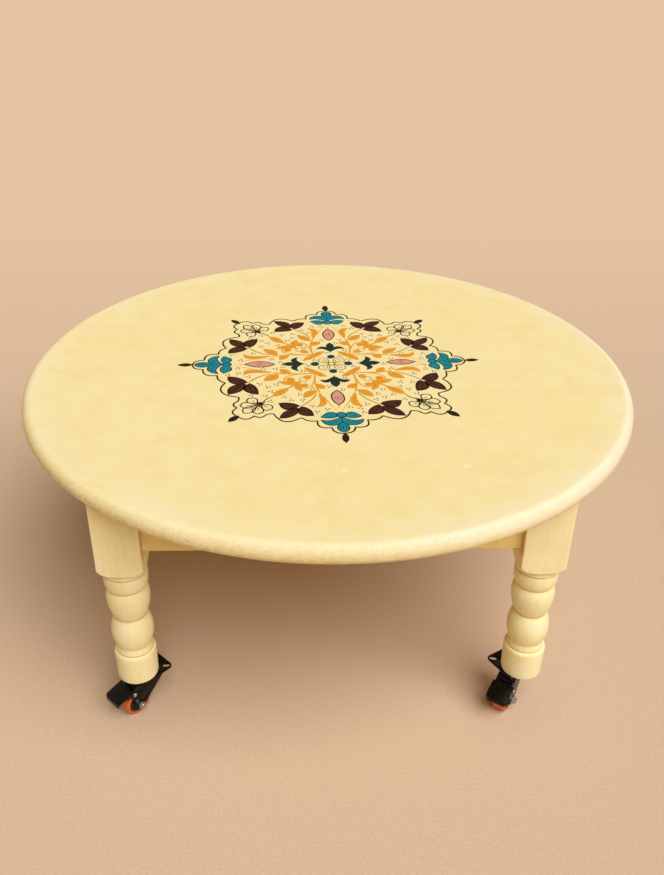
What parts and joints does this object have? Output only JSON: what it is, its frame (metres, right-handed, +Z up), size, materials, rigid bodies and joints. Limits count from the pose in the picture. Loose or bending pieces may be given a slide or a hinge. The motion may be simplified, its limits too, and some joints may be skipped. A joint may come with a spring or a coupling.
{
  "type": "round table",
  "caption": "Low round wooden table with a painted ornamental medallion on its top, turned legs on tenoned aprons, and braked swivel casters.",
  "frame": {"origin": "on the floor under the middle of the round top", "axes": "+Z up; +X to the right and +Y away, seen from the side that the picture shows"},
  "size_m": [0.9, 0.9, 0.4211],
  "materials": {
    "cream_paint": "chalky hand-brushed cream-yellow paint over wood",
    "bare_pine": "bare sawn pine",
    "black_steel": "glossy black coated steel sheet",
    "zinc_steel": "bright zinc plating",
    "orange_tyre": "smooth orange polyurethane",
    "dark_nylon": "dark moulded nylon"
  },
  "bodies": {
    "table": {"tabletop": "cream_paint", "apron_front": "cream_paint", "apron_right": "cream_paint", "apron_rear": "cream_paint", "apron_left": "cream_paint", "leg_front_left": "cream_paint", "corner_brace_front_left": "bare_pine", "top_screw_front_left": "zinc_steel", "caster_plate_front_left": "black_steel", "kingpin_front_left": "zinc_steel", "leg_front_right": "cream_paint", "corner_brace_front_right": "bare_pine", "top_screw_front_right": "zinc_steel", "caster_plate_front_right": "black_steel", "kingpin_front_right": "zinc_steel", "leg_rear_right": "cream_paint", "corner_brace_rear_right": "bare_pine", "top_screw_rear_right": "zinc_steel", "caster_plate_rear_right": "black_steel", "kingpin_rear_right": "zinc_steel", "leg_rear_left": "cream_paint", "corner_brace_rear_left": "bare_pine", "top_screw_rear_left": "zinc_steel", "caster_plate_rear_left": "black_steel", "kingpin_rear_left": "zinc_steel"},
    "caster_front_left": {"ball_race_front_left": "black_steel", "fork_front_left": "black_steel", "brake_pin_front_left": "zinc_steel", "axle_bolt_front_left": "zinc_steel", "axle_nut_front_left": "zinc_steel"},
    "wheel_front_left": {"wheel_core_front_left": "dark_nylon", "wheel_tread_front_left": "orange_tyre"},
    "brake_front_left": {"brake_pedal_front_left": "black_steel"},
    "caster_front_right": {"ball_race_front_right": "black_steel", "fork_front_right": "black_steel", "brake_pin_front_right": "zinc_steel", "axle_bolt_front_right": "zinc_steel", "axle_nut_front_right": "zinc_steel"},
    "wheel_front_right": {"wheel_core_front_right": "dark_nylon", "wheel_tread_front_right": "orange_tyre"},
    "brake_front_right": {"brake_pedal_front_right": "black_steel"},
    "caster_rear_right": {"ball_race_rear_right": "black_steel", "fork_rear_right": "black_steel", "brake_pin_rear_right": "zinc_steel", "axle_bolt_rear_right": "zinc_steel", "axle_nut_rear_right": "zinc_steel"},
    "wheel_rear_right": {"wheel_core_rear_right": "dark_nylon", "wheel_tread_rear_right": "orange_tyre"},
    "brake_rear_right": {"brake_pedal_rear_right": "black_steel"},
    "caster_rear_left": {"ball_race_rear_left": "black_steel", "fork_rear_left": "black_steel", "brake_pin_rear_left": "zinc_steel", "axle_bolt_rear_left": "zinc_steel", "axle_nut_rear_left": "zinc_steel"},
    "wheel_rear_left": {"wheel_core_rear_left": "dark_nylon", "wheel_tread_rear_left": "orange_tyre"},
    "brake_rear_left": {"brake_pedal_rear_left": "black_steel"}
  },
  "joints": [
    {"name": "swivel_front_left", "type": "hinge", "parent": "table", "child": "caster_front_left", "pos_m": [-0.26986, -0.26986, 0.05812], "axis": [0, 0, 1], "continuous": true},
    {"name": "wheel_spin_front_left", "type": "hinge", "parent": "caster_front_left", "child": "wheel_front_left", "pos_m": [-0.28723, -0.28784, 0.02068], "axis": [0.7193, -0.6947, 0], "continuous": true},
    {"name": "brake_press_front_left", "type": "hinge", "parent": "caster_front_left", "child": "brake_front_left", "pos_m": [-0.29348, -0.29432, 0.04667], "axis": [0.7193, -0.6947, 0], "range_deg": [0, 12]},
    {"name": "swivel_front_right", "type": "hinge", "parent": "table", "child": "caster_front_right", "pos_m": [0.26986, -0.26986, 0.05812], "axis": [0, 0, 1], "continuous": true},
    {"name": "wheel_spin_front_right", "type": "hinge", "parent": "caster_front_right", "child": "wheel_front_right", "pos_m": [0.25661, -0.29106, 0.02068], "axis": [0.848, -0.5299, 0], "continuous": true},
    {"name": "brake_press_front_right", "type": "hinge", "parent": "caster_front_right", "child": "brake_front_right", "pos_m": [0.25184, -0.29869, 0.04667], "axis": [0.848, -0.5299, 0], "range_deg": [0, 12]},
    {"name": "swivel_rear_right", "type": "hinge", "parent": "table", "child": "caster_rear_right", "pos_m": [0.26986, 0.26986, 0.05812], "axis": [0, 0, 1], "continuous": true},
    {"name": "wheel_spin_rear_right", "type": "hinge", "parent": "caster_rear_right", "child": "wheel_rear_right", "pos_m": [0.25128, 0.25313, 0.02068], "axis": [0.6691, -0.7431, 0], "continuous": true},
    {"name": "brake_press_rear_right", "type": "hinge", "parent": "caster_rear_right", "child": "brake_rear_right", "pos_m": [0.24459, 0.24711, 0.04667], "axis": [0.6691, -0.7431, 0], "range_deg": [0, 12]},
    {"name": "swivel_rear_left", "type": "hinge", "parent": "table", "child": "caster_rear_left", "pos_m": [-0.26986, 0.26986, 0.05812], "axis": [0, 0, 1], "continuous": true},
    {"name": "wheel_spin_rear_left", "type": "hinge", "parent": "caster_rear_left", "child": "wheel_rear_left", "pos_m": [-0.28525, 0.25016, 0.02068], "axis": [0.788, -0.6157, 0], "continuous": true},
    {"name": "brake_press_rear_left", "type": "hinge", "parent": "caster_rear_left", "child": "brake_rear_left", "pos_m": [-0.29079, 0.24307, 0.04667], "axis": [0.788, -0.6157, 0], "range_deg": [0, 12]}
  ]
}
